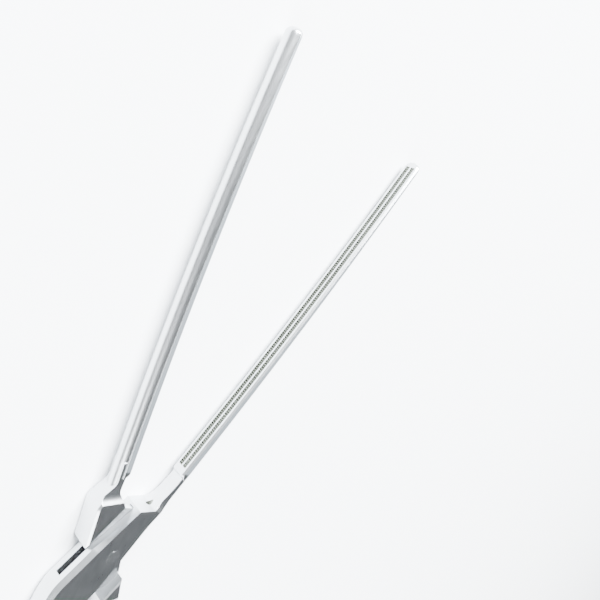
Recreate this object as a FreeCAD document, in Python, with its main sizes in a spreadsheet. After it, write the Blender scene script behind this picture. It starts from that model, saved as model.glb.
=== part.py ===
"""Straight intestinal clamp with a box lock, finger rings and a ratchet.

Three pieces: the slotted half, the waisted half that passes through its slot, and the pivot
pin.  Every length is in millimetres and every angle in degrees.  Each half is drawn closed, in
its own frame: the origin is on the pivot axis at mid thickness, +Y runs to the jaw tips and +Z
is the engraved side.  The two placements at the end open the halves to the resting angle and
lift them so that the lower lock face lies at Z = 0.
"""
import FreeCAD, Part
import math
import os
import Sketcher

Vector = FreeCAD.Vector
Rotation = FreeCAD.Rotation
Placement = FreeCAD.Placement

doc = FreeCAD.newDocument("intestinal_clamp")
sheet = doc.addObject("Spreadsheet::Sheet", "Sizes")

SIZES = [
    # opening
    ("opening_rest", 25.5, "angle between the two halves as the part lies"),
    # lock
    ("lock_thick", 6.2, "thickness over the two lock faces"),
    ("slot_radius", 11.2, "radius of the round slot about the pivot"),
    ("slot_height", 2.1, "opening of the slot between the two walls"),
    ("waist_gap", 0.06, "gap between waist and each slot wall"),
    ("waist_end_gap", 0.15, "gap between waist and the round end of the slot"),
    ("stop_angle", 35.0, "lean of the waist shoulders from the long axis"),
    ("stop_distance", 8.6, "distance of the waist shoulders from the pivot"),
    ("stop_bevel", 0.7, "bevel along the waist shoulders"),
    ("wall_bevel", 0.8, "bevel along the slotted side of the lock"),
    ("pin_dia", 3.0, "diameter of the pivot pin"),
    ("pin_gap", 0.05, "radial running gap of the pin in the waist"),
    ("vent_dia", 1.3, "diameter of the relief hole in the crotch"),
    ("vent_x", 1.55, "offset of the relief hole from the long axis"),
    # neck
    ("neck_thick", 4.0, "thickness of the necks between lock and jaw"),
    ("neck_ramp_start", 12.9, "distance from pivot where the lock faces end"),
    ("neck_ramp_length", 3.2, "length of the hollow ramp down to the neck"),
    # jaw
    ("jaw_tip", 118.0, "distance from pivot to jaw tip"),
    ("jaw_length", 95.0, "chord of the toothed face"),
    ("jaw_toe", 1.5, "lean of the closed toothed face to the long axis"),
    ("jaw_bow", 1.0, "height of the outward bow of the toothed face"),
    ("jaw_meet", 0.06, "gap from closed tooth crests to the long axis"),
    ("jaw_width", 4.4, "width of the toothed plate"),
    ("plate_base", 1.7, "side height of the plate at its base"),
    ("plate_tip", 0.8, "side height of the plate at its tip"),
    ("plate_lead", 1.6, "length of the curved step at the plate base"),
    ("shelf", 0.25, "ledge each side where the back meets the plate"),
    ("back_base", 3.5, "whole height of the jaw at its base"),
    ("back_tip", 2.5, "whole height of the jaw at its tip"),
    ("back_round", 1.35, "height of the rounded part of the back"),
    ("tip_round_side", 1.5, "radius of the tip seen from the lock face side"),
    ("tip_round_face", 1.7, "radius of the tip seen on the toothed face"),
    ("edge_bevel", 0.42, "bevel along both edges of the toothed face"),
    # teeth
    ("tooth_count", 152, "number of cross cuts in each toothed face"),
    ("tooth_pitch", 0.61, "pitch of the cross cuts"),
    ("tooth_land", 0.10, "flat left on each crest"),
    ("tooth_depth", 0.22, "depth of the cross cuts"),
    ("tooth_margin", 1.4, "plain length at the tip"),
    ("tooth_end", 0.08, "plain strip between the cross cuts and the edge bevels"),
    ("row_offset", 0.65, "distance of each long groove from the middle"),
    ("row_width", 0.70, "width of each long groove"),
    ("row_lead", 0.8, "plain length between the plate base and the long grooves"),
    ("row_depth", 0.46, "depth of each long groove"),
    ("row_gap", 0.10, "gap between a toothed rib and its groove"),
    # shanks
    ("shank_start", 14.0, "distance from pivot where the shank begins"),
    ("shank_wide", 4.4, "width of the shank across the clamp"),
    ("shank_thick", 4.2, "thickness of the shank"),
    ("shank_bevel", 1.2, "bevel along the edges of the shank"),
    ("shank_x", 4.65, "distance of the shank from the long axis at the lock"),
    ("shank_mid_x", 5.2, "distance of the shank from the long axis half way"),
    ("shank_mid_y", 48.0, "distance from pivot of the half-way point"),
    ("shank_bend_x", 6.0, "distance of the shank from the long axis where it turns out"),
    ("shank_bend_y", 82.0, "distance from pivot where it turns out to the ring"),
    # rings
    ("ring_inner", 23.0, "inside diameter of a finger ring"),
    ("ring_stock", 4.8, "radial width of the ring stock"),
    ("ring_thick", 4.6, "thickness of the ring stock"),
    ("ring_bevel", 1.3, "bevel along the edges of the ring stock"),
    ("ring_join", 55.0, "angle round the ring where the shank joins"),
    ("ring_y", 106.0, "distance from pivot to a ring centre along the axis"),
    ("ring_gap", 0.5, "gap between the two rings when closed"),
    # ratchet
    ("rack_y", 84.0, "distance from pivot to the middle of the ratchet"),
    ("rack_wide", 4.2, "width of a rack along the shank"),
    ("rack_thick", 1.9, "thickness of a rack"),
    ("rack_reach", 2.8, "reach of a rack past the long axis"),
    ("rack_teeth", 4, "number of ratchet teeth"),
    ("rack_pitch", 1.5, "pitch of the ratchet teeth"),
    ("rack_tooth", 0.6, "height of the ratchet teeth"),
    ("rack_gap", 0.12, "gap between the two sets of tooth crests"),
]
for row, (name, value, note) in enumerate(SIZES, start=1):
    sheet.set("A%d" % row, name)
    sheet.set("B%d" % row, str(value))
    sheet.setAlias("B%d" % row, name)
    sheet.set("C%d" % row, note)
doc.recompute()


def size(name):
    """Value of one named size from the sheet."""
    return float(sheet.get(name))


half_lock = size("lock_thick") / 2.0
waist_half = size("slot_height") / 2.0 - size("waist_gap")
waist_radius = size("slot_radius") - size("waist_end_gap")
open_half = size("opening_rest") / 2.0


def plane_of(body, role):
    """Origin plane of a body, found by its role."""
    for item in body.Origin.OriginFeatures:
        if item.Role == role:
            return item
    raise ValueError(role)


def add_sketch(body, name, role="XY_Plane", offset=None):
    """New sketch on an origin plane of the body, moved in that plane's frame by offset."""
    sketch = body.newObject("Sketcher::SketchObject", name)
    sketch.AttachmentSupport = [(plane_of(body, role), "")]
    sketch.MapMode = "FlatFace"
    if offset is not None:
        sketch.AttachmentOffset = offset
    return sketch


def unit(a, b):
    """Unit vector from a to b."""
    step = b.sub(a)
    step.normalize()
    return step


def draw_outline(sketch, corners, arcs=None):
    """Closed outline through corners (x, y, radius), each rounded by its own radius.

    A rounding takes at most 0.45 of either side.  arcs names sides that are arcs: the number
    of the corner where the side starts, and a point that the arc passes through.
    """
    arcs = arcs or {}
    points = [Vector(x, y, 0) for x, y, _ in corners]
    count = len(points)
    bends = []
    for i, (_, _, radius) in enumerate(corners):
        here = points[i]
        previous = points[i - 1]
        following = points[(i + 1) % count]
        if radius <= 0:
            bends.append((here, None, here))
            continue
        before = unit(here, previous)
        after = unit(here, following)
        half_turn = before.getAngle(after) / 2.0
        reach = min(radius / math.tan(half_turn), 0.45 * here.distanceToPoint(previous),
                    0.45 * here.distanceToPoint(following))
        used = reach * math.tan(half_turn)
        first = here + before * reach
        last = here + after * reach
        toward = unit(here, (first + last) * 0.5)
        bends.append((first, here + toward * (used / math.sin(half_turn) - used), last))
    for i in range(count):
        first, middle, last = bends[i]
        if middle is not None:
            sketch.addGeometry(Part.Arc(first, middle, last), False)
        following = bends[(i + 1) % count][0]
        if i in arcs:
            sketch.addGeometry(Part.Arc(last, arcs[i], following), False)
        elif last.distanceToPoint(following) > 1e-6:
            sketch.addGeometry(Part.LineSegment(last, following), False)


def add_pad(body, sketch, name, length, midplane=True, reverse=False):
    """Pad a sketch; length is the name of a size or an expression of sizes."""
    pad = body.newObject("PartDesign::Pad", name)
    pad.Profile = sketch
    pad.Midplane = midplane
    pad.Reversed = reverse
    pad.setExpression("Length", length)
    sketch.Visibility = False
    return pad


def add_pocket(body, sketch, name, length=None, midplane=False, reverse=False):
    """Pocket a sketch, through everything where no length is given."""
    pocket = body.newObject("PartDesign::Pocket", name)
    pocket.Profile = sketch
    pocket.Midplane = midplane
    pocket.Reversed = reverse
    if length is None:
        pocket.Type = "ThroughAll"
    else:
        pocket.setExpression("Length", length)
    sketch.Visibility = False
    return pocket


class Face:
    """The bowed toothed face of one jaw, as an arc in the plane of the clamp.

    side is +1 for the jaw on +X and -1 for the jaw on -X.  Places on it are given by the
    distance along the arc from the middle of the jaw, positive to the tip, and the distance
    outward from the face.
    """

    def __init__(self, side):
        """Work out the arc's centre and radius from the named sizes."""
        self.side = side
        chord = size("jaw_length")
        bow = size("jaw_bow")
        toe = math.radians(size("jaw_toe"))
        self.radius = (chord * chord / 4.0 + bow * bow) / (2.0 * bow)
        tip = Vector(size("jaw_meet"), size("jaw_tip"), 0)
        along = Vector(-math.sin(toe), math.cos(toe), 0)
        outward = Vector(math.cos(toe), math.sin(toe), 0)
        middle = tip.sub(along * (chord / 2.0)).add(outward * bow)
        centre = middle.sub(outward * self.radius)
        self.centre = Vector(side * centre.x, centre.y, 0)
        self.lean = size("jaw_toe") if side > 0 else 180.0 - size("jaw_toe")
        self.half_angle = math.asin(chord / 2.0 / self.radius)
        self.half_arc = self.radius * self.half_angle

    def flat(self, along, outward):
        """Point in the frame of the arc's centre, whose x runs outward at the jaw's middle."""
        turn = self.side * along / self.radius
        reach = self.radius + outward
        return Vector(reach * math.cos(turn), reach * math.sin(turn), 0)

    def point(self, along, outward):
        """The same point in the frame of the half."""
        return self.flat_offset().multVec(self.flat(along, outward))

    def flat_offset(self):
        """Offset of a sketch in the plane of the clamp, onto the arc's centre."""
        return Placement(self.centre, Rotation(Vector(0, 0, 1), self.lean))

    def section_offset(self, along):
        """Offset of a sketch on the XZ plane: x outward from the arc's axis at along, y up."""
        turn = self.lean + self.side * math.degrees(along / self.radius)
        return Placement(Vector(self.centre.x, 0, -self.centre.y), Rotation(Vector(0, 1, 0), turn))


def add_lock_pad(body, corners):
    """Full-thickness lock and neck of a half."""
    sketch = add_sketch(body, "LockOutline")
    draw_outline(sketch, corners)
    return add_pad(body, sketch, "LockPad", "Sizes.lock_thick")


def cut_ramps(body, direction, name, start, length, thick):
    """Hollow ramps on both faces, from the lock faces down to a thinner neck or shank."""
    reach = 14.0
    half = thick / 2.0
    top = half_lock + 1.0
    rise = half_lock - half
    radius = (length * length + rise * rise) / (2.0 * rise)
    for sign in (1, -1):
        sketch = add_sketch(body, name + ("Upper" if sign > 0 else "Lower"), "YZ_Plane")
        first = Vector(direction * start, sign * half_lock, 0)
        last = Vector(direction * (start + length), sign * half, 0)
        bend = math.asin(length / radius) / 2.0
        middle = Vector(direction * (start + length - radius * math.sin(bend)),
                        sign * (half + radius * (1.0 - math.cos(bend))), 0)
        far = direction * (start + length + reach)
        sketch.addGeometry(Part.Arc(first, middle, last), False)
        sketch.addGeometry(Part.LineSegment(last, Vector(far, sign * half, 0)), False)
        sketch.addGeometry(Part.LineSegment(Vector(far, sign * half, 0), Vector(far, sign * top, 0)), False)
        sketch.addGeometry(Part.LineSegment(Vector(far, sign * top, 0), Vector(first.x, sign * top, 0)), False)
        sketch.addGeometry(Part.LineSegment(Vector(first.x, sign * top, 0), first), False)
        add_pocket(body, sketch, name + ("UpperCut" if sign > 0 else "LowerCut"), midplane=True)


def add_plate(body, face, base, crest):
    """Toothed plate of a jaw, whose inner side lies crest inward of the face arc."""
    tip = face.half_arc
    lead = size("plate_lead")
    mid = (base + tip) / 2.0
    half_plate = (size("plate_base") + size("plate_tip")) / 2.0
    sketch = add_sketch(body, "PlateOutline", offset=face.flat_offset())
    inner = [face.flat(base, -crest), face.flat(mid, -crest), face.flat(tip, -crest)]
    outer = [face.flat(tip, size("plate_tip")), face.flat(mid, half_plate),
             face.flat(base - lead, size("plate_base"))]
    step = face.flat(base - lead * 0.72, 0.30 * size("plate_base"))
    sketch.addGeometry(Part.Arc(*inner), False)
    sketch.addGeometry(Part.LineSegment(inner[2], outer[0]), False)
    sketch.addGeometry(Part.Arc(*outer), False)
    sketch.addGeometry(Part.Arc(outer[2], step, inner[0]), False)
    add_pad(body, sketch, "Plate", "Sizes.jaw_width")


def cut_teeth(body, face, crest):
    """Cross cuts over the toothed face, one cut repeated about the axis of the arc."""
    pitch = size("tooth_pitch")
    half_cut = (pitch - size("tooth_land")) / 2.0
    first = face.half_arc - size("tooth_margin") - (size("tooth_count") - 0.5) * pitch
    sketch = add_sketch(body, "ToothOutline", offset=face.flat_offset())
    notch = [face.flat(first - half_cut, -crest), face.flat(first, size("tooth_depth") - crest),
             face.flat(first + half_cut, -crest), face.flat(first + half_cut, -crest - 0.1),
             face.flat(first - half_cut, -crest - 0.1)]
    for a, b in zip(notch, notch[1:] + notch[:1]):
        sketch.addGeometry(Part.LineSegment(a, b), False)
    length = "Sizes.jaw_width - 2 * Sizes.edge_bevel - 2 * Sizes.tooth_end"
    tooth = add_pocket(body, sketch, "ToothCut", length, midplane=True)
    pattern = body.newObject("PartDesign::PolarPattern", "ToothRow")
    pattern.Originals = [tooth]
    pattern.Axis = (sketch, ["N_Axis"])
    pattern.Reversed = face.side < 0
    pattern.Angle = math.degrees((size("tooth_count") - 1) * pitch / face.radius)
    pattern.setExpression("Occurrences", "Sizes.tooth_count")
    body.Tip = pattern


def add_loops(sketch, loops):
    """Closed straight-sided loops, each a list of (x, y)."""
    for loop in loops:
        points = [Vector(x, y, 0) for x, y in loop]
        for a, b in zip(points, points[1:] + points[:1]):
            sketch.addGeometry(Part.LineSegment(a, b), False)


def cut_along(body, face, name, loops, start, end):
    """Cut loops drawn in the jaw's section along the arc from start to end."""
    offset = face.section_offset(end)
    sketch = add_sketch(body, name + "Section", "XZ_Plane", offset)
    add_loops(sketch, loops)
    groove = body.newObject("PartDesign::Groove", name)
    groove.Profile = sketch
    groove.ReferenceAxis = (sketch, ["V_Axis"])
    groove.Angle = math.degrees((end - start) / face.radius)
    groove.Reversed = face.side > 0
    sketch.Visibility = False
    return groove


def cut_rows(body, face, base, crest):
    """Two long grooves of the slotted half's face, or the two ribs that seat in them."""
    r = face.radius
    mid = size("row_offset")
    edge = size("jaw_width") / 2.0
    clear = r - crest - 0.1
    loops = []
    if crest == 0:
        wide = size("row_width") / 2.0
        floor = r + size("row_depth")
        for z in (-mid, mid):
            loops.append([(clear, z - wide), (clear, z + wide), (floor, z + wide), (floor, z - wide)])
    else:
        wide = size("row_width") / 2.0 - size("row_gap")
        loops.append([(clear, -mid + wide), (clear, mid - wide), (r, mid - wide), (r, -mid + wide)])
        for sign in (1, -1):
            loops.append([(clear, sign * (mid + wide)), (r, sign * (mid + wide)),
                          (r, sign * (edge + 0.5)), (clear, sign * (edge + 0.5))])
    cut_along(body, face, "Rows", loops, base + size("row_lead"), face.half_arc + 1.0)


def cut_edges(body, face, base):
    """Bevels along both edges of a toothed face."""
    r = face.radius
    edge = size("jaw_width") / 2.0
    bevel = size("edge_bevel")
    wedges = []
    for sign in (1, -1):
        wedges.append([(r + bevel, sign * edge), (r + bevel, sign * (edge + 0.3)),
                       (r - 0.6, sign * (edge + 0.3)), (r - 0.6, sign * (edge - bevel - 0.6))])
    cut_along(body, face, "EdgeBevel", wedges, base - 3.0, face.half_arc + 1.0)


def add_back(body, face, base):
    """Rounded back of a jaw, lofted over sections across the long axis."""
    side = face.side
    tip = face.half_arc
    stations = []
    for share in (0.0, 0.25, 0.5, 0.75, 1.0):
        along = base - 0.6 + (tip - base + 0.6) * share
        height = size("back_base") + (size("back_tip") - size("back_base")) * share
        plate = size("plate_base") + (size("plate_tip") - size("plate_base")) * share
        stations.append((along, height, plate))
    half = size("jaw_width") / 2.0 - size("shelf")
    sketches = []
    for i, (along, height, plate) in enumerate(stations):
        foot = face.point(along, 0.0)
        sketch = add_sketch(body, "BackSection%d" % i, "XZ_Plane",
                            Placement(Vector(foot.x, 0, -foot.y), Rotation()))
        low = side * plate * 0.5
        wall = side * (height - size("back_round"))
        top = side * height
        sketch.addGeometry(Part.LineSegment(Vector(low, -half, 0), Vector(low, half, 0)), False)
        sketch.addGeometry(Part.LineSegment(Vector(low, half, 0), Vector(wall, half, 0)), False)
        sketch.addGeometry(Part.Arc(Vector(wall, half, 0), Vector(top, 0, 0), Vector(wall, -half, 0)), False)
        sketch.addGeometry(Part.LineSegment(Vector(wall, -half, 0), Vector(low, -half, 0)), False)
        sketch.Visibility = False
        sketches.append(sketch)
    loft = body.newObject("PartDesign::AdditiveLoft", "Back")
    loft.Profile = sketches[0]
    loft.Sections = sketches[1:]
    loft.Ruled = True


def round_tip(body, face):
    """Blunt tip, rounded on the back and on both edges of the toothed face."""
    side = face.side
    far = size("jaw_tip")
    big = size("tip_round_side")
    back = side * (size("jaw_meet") + size("back_tip"))
    sketch = add_sketch(body, "TipBack")
    bend = big * (1.0 - math.sqrt(0.5))
    a = Vector(back - side * big, far, 0)
    m = Vector(back - side * bend, far - bend, 0)
    b = Vector(back, far - big, 0)
    out = back + side * 1.5
    sketch.addGeometry(Part.Arc(a, m, b), False)
    for p, q in ((b, Vector(out, b.y, 0)), (Vector(out, b.y, 0), Vector(out, far + 1.5, 0)),
                 (Vector(out, far + 1.5, 0), Vector(a.x, far + 1.5, 0)), (Vector(a.x, far + 1.5, 0), a)):
        sketch.addGeometry(Part.LineSegment(p, q), False)
    add_pocket(body, sketch, "TipBackCut", midplane=True)
    small = size("tip_round_face")
    bend = small * (1.0 - math.sqrt(0.5))
    edge = size("jaw_width") / 2.0
    for sign in (1, -1):
        sketch = add_sketch(body, "TipEdge" + ("Upper" if sign > 0 else "Lower"), "YZ_Plane")
        a = Vector(far, sign * (edge - small), 0)
        m = Vector(far - bend, sign * (edge - bend), 0)
        b = Vector(far - small, sign * edge, 0)
        top = sign * (edge + 1.0)
        sketch.addGeometry(Part.Arc(a, m, b), False)
        for p, q in ((b, Vector(b.x, top, 0)), (Vector(b.x, top, 0), Vector(far + 1.5, top, 0)),
                     (Vector(far + 1.5, top, 0), Vector(far + 1.5, a.y, 0)), (Vector(far + 1.5, a.y, 0), a)):
            sketch.addGeometry(Part.LineSegment(p, q), False)
        add_pocket(body, sketch, "TipEdgeCut" + ("Upper" if sign > 0 else "Lower"), midplane=True)


def draw_bar(sketch, middle, wide, thick, bevel):
    """Section of flat-sided bar with bevelled edges, centred at x = middle."""
    a = wide / 2.0
    b = thick / 2.0
    corners = [(a, b - bevel), (a - bevel, b), (bevel - a, b), (-a, b - bevel),
               (-a, bevel - b), (bevel - a, -b), (a - bevel, -b), (a, bevel - b)]
    add_loops(sketch, [[(middle + x, y) for x, y in corners]])


def add_shank(body, side):
    """Shank of bevelled bar swept from the lock to the finger ring; side is that of the half's jaw."""
    join = size("ring_inner") / 2.0 + size("ring_stock") / 2.0
    turn = math.radians(size("ring_join"))
    corners = [
        Vector(-side * size("shank_x"), -size("shank_start"), 0),
        Vector(-side * size("shank_mid_x"), -size("shank_mid_y"), 0),
        Vector(-side * size("shank_bend_x"), -size("shank_bend_y"), 0),
        Vector(-side * (ring_centre_x() - join * math.cos(turn)), -(size("ring_y") - join * math.sin(turn)), 0),
    ]
    path = add_sketch(body, "ShankPath")
    here = corners[0]
    for before, corner, after in zip(corners, corners[1:], corners[2:]):
        back = unit(corner, before)
        ahead = unit(corner, after)
        half_turn = back.getAngle(ahead) / 2.0
        reach = min(0.45 * corner.distanceToPoint(before), 0.45 * corner.distanceToPoint(after))
        bend = reach * math.tan(half_turn)
        first = corner + back * reach
        last = corner + ahead * reach
        toward = unit(corner, (first + last) * 0.5)
        path.addGeometry(Part.LineSegment(here, first), False)
        path.addGeometry(Part.Arc(first, corner + toward * (bend / math.sin(half_turn) - bend), last), False)
        here = last
    path.addGeometry(Part.LineSegment(here, corners[-1]), False)
    path.Visibility = False
    section = add_sketch(body, "ShankSection", "XZ_Plane",
                         Placement(Vector(corners[0].x, 0, -corners[0].y), Rotation()))
    draw_bar(section, 0.0, size("shank_wide"), size("shank_thick"), size("shank_bevel"))
    section.Visibility = False
    shank = body.newObject("PartDesign::AdditivePipe", "Shank")
    shank.Profile = section
    shank.Spine = (path, ["Edge%d" % (i + 1) for i in range(path.GeometryCount)])


def ring_centre_x():
    """Distance of a ring centre from the long axis of the closed clamp."""
    return size("ring_inner") / 2.0 + size("ring_stock") + size("ring_gap") / 2.0


def add_ring(body, side):
    """Finger ring of bevelled bar, turned about the ring's axis."""
    sketch = add_sketch(body, "RingSection", "XZ_Plane",
                        Placement(Vector(-side * ring_centre_x(), 0, size("ring_y")), Rotation()))
    middle = size("ring_inner") / 2.0 + size("ring_stock") / 2.0
    draw_bar(sketch, middle, size("ring_stock"), size("ring_thick"), size("ring_bevel"))
    ring = body.newObject("PartDesign::Revolution", "Ring")
    ring.Profile = sketch
    ring.ReferenceAxis = (sketch, ["V_Axis"])
    ring.Angle = 360.0
    sketch.Visibility = False


def add_rack(body, side):
    """Ratchet rack on the inner side of the shank, toothed toward the other rack."""
    sketch = add_sketch(body, "RackOutline", "XZ_Plane",
                        Placement(Vector(0, 0, size("rack_y")), Rotation()))
    crest = side * size("rack_gap") / 2.0
    root = crest + side * size("rack_tooth")
    back = crest + side * size("rack_thick")
    end = side * size("rack_reach")
    pitch = size("rack_pitch")
    points = [(-side * 6.0, back), (end - side * 0.7, back), (end, back - side * 0.7), (end, crest)]
    x = end
    for _ in range(int(size("rack_teeth"))):
        x -= side * 0.25 * pitch
        points.append((x, crest))
        points.append((x, root))
        x -= side * 0.75 * pitch
        points.append((x, crest))
    points.append((x - side * 0.3, root))
    points.append((-side * 6.0, root))
    for a, b in zip(points, points[1:] + points[:1]):
        sketch.addGeometry(Part.LineSegment(Vector(a[0], a[1], 0), Vector(b[0], b[1], 0)), False)
    add_pad(body, sketch, "Rack", "Sizes.rack_wide")


def on_stop(y):
    """X of the upper shoulder line of the waisted half, at height y."""
    lean = math.radians(size("stop_angle"))
    return -(size("stop_distance") - math.sin(lean) * y) / math.cos(lean)


def stop_meets_circle(radius):
    """Upper point where the shoulder line crosses a circle about the pivot."""
    lean = math.radians(size("stop_angle"))
    foot = Vector(-math.cos(lean), math.sin(lean), 0).multiply(size("stop_distance"))
    along = Vector(math.sin(lean), math.cos(lean), 0)
    return foot.add(along.multiply(math.sqrt(radius ** 2 - size("stop_distance") ** 2)))


def add_bore(body, name, radius):
    """Bore on the pivot axis through both lock faces."""
    sketch = add_sketch(body, name + "Circle")
    index = sketch.addGeometry(Part.Circle(Vector(0, 0, 0), Vector(0, 0, 1), 1.0), False)
    sketch.addConstraint(Sketcher.Constraint("Coincident", index, 3, -1, 1))
    sketch.addConstraint(Sketcher.Constraint("Radius", index, 1.0))
    sketch.setExpression("Constraints[1]", radius)
    return add_pocket(body, sketch, name, midplane=True)


def add_limbs(body, side, base_shift, crest):
    """Everything that both halves have outside the lock, but for the tooth cuts."""
    face = Face(side)
    base = -face.half_arc + base_shift
    start = size("neck_ramp_start")
    cut_ramps(body, 1, "NeckRamp", start, size("neck_ramp_length"), size("neck_thick"))
    cut_ramps(body, -1, "ShankRamp", start, size("neck_ramp_length"), size("neck_thick"))
    add_plate(body, face, base, crest)
    add_back(body, face, base)
    round_tip(body, face)
    add_shank(body, side)
    add_ring(body, side)
    add_rack(body, side)


def cut_face(body, side, base_shift, crest):
    """Cross cuts, long grooves and edge bevels of a toothed face, which come last."""
    face = Face(side)
    base = -face.half_arc + base_shift
    cut_edges(body, face, base)
    cut_rows(body, face, base, crest)


# Slotted half: box with a round slot, jaw on +X, shank on -X
slotted = doc.addObject("PartDesign::Body", "slotted_half")
slotted.Label = "slotted_half"
add_lock_pad(slotted, [
    (3.2, 25.5, 0), (3.5, 21.0, 3.0), (3.0, 16.6, 4.0), (1.9, 13.0, 1.2), (-2.2, 11.5, 0.15),
    (-4.9, 0.0, 20.0), (-6.9, -9.0, 20.0), (-7.0, -13.0, 6.0), (-6.6, -18.0, 0),
    (-2.6, -18.0, 0), (-2.5, -16.0, 2.0), (-1.9, -13.0, 0.8), (2.2, -11.5, 0.15),
    (3.7, -8.0, 4.0), (4.1, 0.0, 20.0), (4.3, 9.0, 20.0), (4.9, 15.5, 12.0), (6.2, 25.5, 0),
])
add_limbs(slotted, 1, 0.0, 0.0)
slot = add_sketch(slotted, "SlotCircle")
slot.addGeometry(Part.Circle(Vector(0, 0, 0), Vector(0, 0, 1), size("slot_radius")), False)
add_pocket(slotted, slot, "Slot", "Sizes.slot_height", midplane=True)
add_bore(slotted, "PinHole", "Sizes.pin_dia / 2")
vent = add_sketch(slotted, "VentCircle", "XZ_Plane", Placement(Vector(0, 0, -16.0), Rotation()))
vent.addGeometry(Part.Circle(Vector(size("vent_x"), 0, 0), Vector(0, 0, 1), size("vent_dia") / 2.0), False)
vent_cut = slotted.newObject("PartDesign::Pocket", "Vent")
vent_cut.Profile = vent
vent_cut.Reversed = False
vent_cut.Length = 16.0 - size("slot_radius") + 1.0
cut_face(slotted, 1, 0.0, 0.0)

# Waisted half: thin round waist between two shoulders, jaw on -X, shank on +X
waisted = doc.addObject("PartDesign::Body", "waisted_half")
waisted.Label = "waisted_half"
upper = stop_meets_circle(waist_radius)
arc_x = 2.8
arc_y = math.sqrt(waist_radius ** 2 - arc_x ** 2)
vertex = 12.9
outline = add_sketch(waisted, "LockOutline")
top_side = [
    (-3.2, 24.5, 0), (-3.5, 20.5, 3.0), (-3.7, 16.8, 2.5), (on_stop(vertex), vertex, 0.2),
    (upper.x, upper.y, 0),
]
right_side = [(arc_x, arc_y, 0), (3.4, 6.0, 6.0), (4.5, -3.0, 20.0), (5.3, -8.0, 20.0), (6.3, -13.0, 10.0),
              (6.5, -18.0, 0)]
bottom_side = [(2.6, -18.0, 0), (2.5, -16.2, 2.0), (-on_stop(vertex), -vertex, 0.2), (-upper.x, -upper.y, 0)]
left_side = [(-arc_x, -arc_y, 0), (-3.4, -6.0, 6.0), (-4.5, 3.0, 20.0), (-5.2, 8.0, 20.0), (-5.2, 15.5, 12.0),
             (-6.2, 24.5, 0)]
corners = top_side + right_side + bottom_side + left_side
waist_ends = {len(top_side) - 1: Vector(0, waist_radius, 0),
              len(top_side) + len(right_side) + len(bottom_side) - 1: Vector(0, -waist_radius, 0)}
draw_outline(outline, corners, waist_ends)
add_pad(waisted, outline, "LockPad", "Sizes.lock_thick")
rib = size("row_depth") - size("row_gap")
add_limbs(waisted, -1, -1.3, rib)

# The waist is thinned from both faces between the two shoulder lines
beyond = 16.0
band = [
    (on_stop(beyond), beyond, 0), (on_stop(-beyond), -beyond, 0), (-on_stop(beyond), -beyond, 0),
    (-on_stop(-beyond), beyond, 0),
]
for sign, name in ((1, "Upper"), (-1, "Lower")):
    relief = add_sketch(waisted, "Relief" + name, offset=Placement(Vector(0, 0, sign * waist_half), Rotation()))
    draw_outline(relief, band)
    add_pocket(waisted, relief, "Relief" + name + "Cut", "Sizes.lock_thick", reverse=sign > 0)
add_bore(waisted, "PinHole", "Sizes.pin_dia / 2 + Sizes.pin_gap")
cut_face(waisted, -1, -1.3, rib)

# Pivot pin, pressed in the slotted half
pin = doc.addObject("Part::Cylinder", "pivot_pin")
pin.Label = "pivot_pin"
pin.setExpression("Radius", "Sizes.pin_dia / 2")
pin.setExpression("Height", "Sizes.lock_thick")

# Resting pose: opened evenly about the long axis, lower lock face on Z = 0
axis = Vector(0, 0, 1)
slotted.Placement = Placement(Vector(0, 0, half_lock), Rotation(axis, -open_half))
waisted.Placement = Placement(Vector(0, 0, half_lock), Rotation(axis, open_half))

doc.recompute()
for item in doc.Objects:
    if "Invalid" in item.State or "Error" in item.State:
        raise RuntimeError(item.Name + " did not build")
os.makedirs("parts", exist_ok=True)
for node in (slotted, waisted, pin):
    shape = node.Shape
    if shape.isNull() or not shape.isValid() or len(shape.Solids) != 1:
        raise RuntimeError(node.Label + " is not one valid solid")
    shape.exportStep("parts/" + node.Label + ".step")
    print(node.Label, round(shape.Volume, 1), "mm3", len(shape.Faces), "faces")
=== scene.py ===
"""Studio scene of a straight intestinal clamp that lies open on a pale floor."""
import logging
import math
from abc import ABC, abstractmethod
from collections.abc import Callable
from dataclasses import dataclass
from enum import Enum, IntEnum

import bmesh
import bpy
from mathutils import Matrix, Vector


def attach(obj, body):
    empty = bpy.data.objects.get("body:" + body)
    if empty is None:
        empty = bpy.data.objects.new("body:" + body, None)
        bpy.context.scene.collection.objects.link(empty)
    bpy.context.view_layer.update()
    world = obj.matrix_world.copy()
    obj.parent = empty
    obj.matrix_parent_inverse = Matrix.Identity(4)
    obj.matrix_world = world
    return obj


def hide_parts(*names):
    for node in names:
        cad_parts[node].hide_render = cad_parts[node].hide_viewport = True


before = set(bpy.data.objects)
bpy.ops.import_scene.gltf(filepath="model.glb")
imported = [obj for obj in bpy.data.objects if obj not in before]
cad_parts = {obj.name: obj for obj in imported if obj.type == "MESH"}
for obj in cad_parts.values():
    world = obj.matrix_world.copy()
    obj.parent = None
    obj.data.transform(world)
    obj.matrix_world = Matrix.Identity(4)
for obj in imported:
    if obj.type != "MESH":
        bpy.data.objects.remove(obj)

LOG = logging.getLogger("clamp")
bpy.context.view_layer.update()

Point = tuple[float, float]
Triple = tuple[float, float, float]
Corner = tuple[float, float, float, float]


class Node(Enum):
    """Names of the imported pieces."""

    SLOTTED = "slotted_half"
    WAISTED = "waisted_half"
    PIN = "pivot_pin"


class Zone(IntEnum):
    """Surfaces of a half, by their material number: satin steel, painted shade and painted reflection."""

    SATIN = 0
    # Painted shade: dark steel on the tooth rows and on the relief hole's wall.
    CUT = 1
    # Painted reflection: bluish, rougher steel on the plate's flat sides.
    PAINTED_REFLECTION = 2


MM = 0.001
# Half of the angle between the halves as the clamp lies.
OPEN_HALF = math.radians(12.75)
# Angles above which an edge is shaded sharp.
SHARP_HALF = math.radians(28.0)
SHARP_PIN = math.radians(30.0)
# Distance below which points are one point.
MERGE = 1e-6
# Largest share of a side that the rounding of one corner takes.
SIDE_SHARE = 0.45
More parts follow.
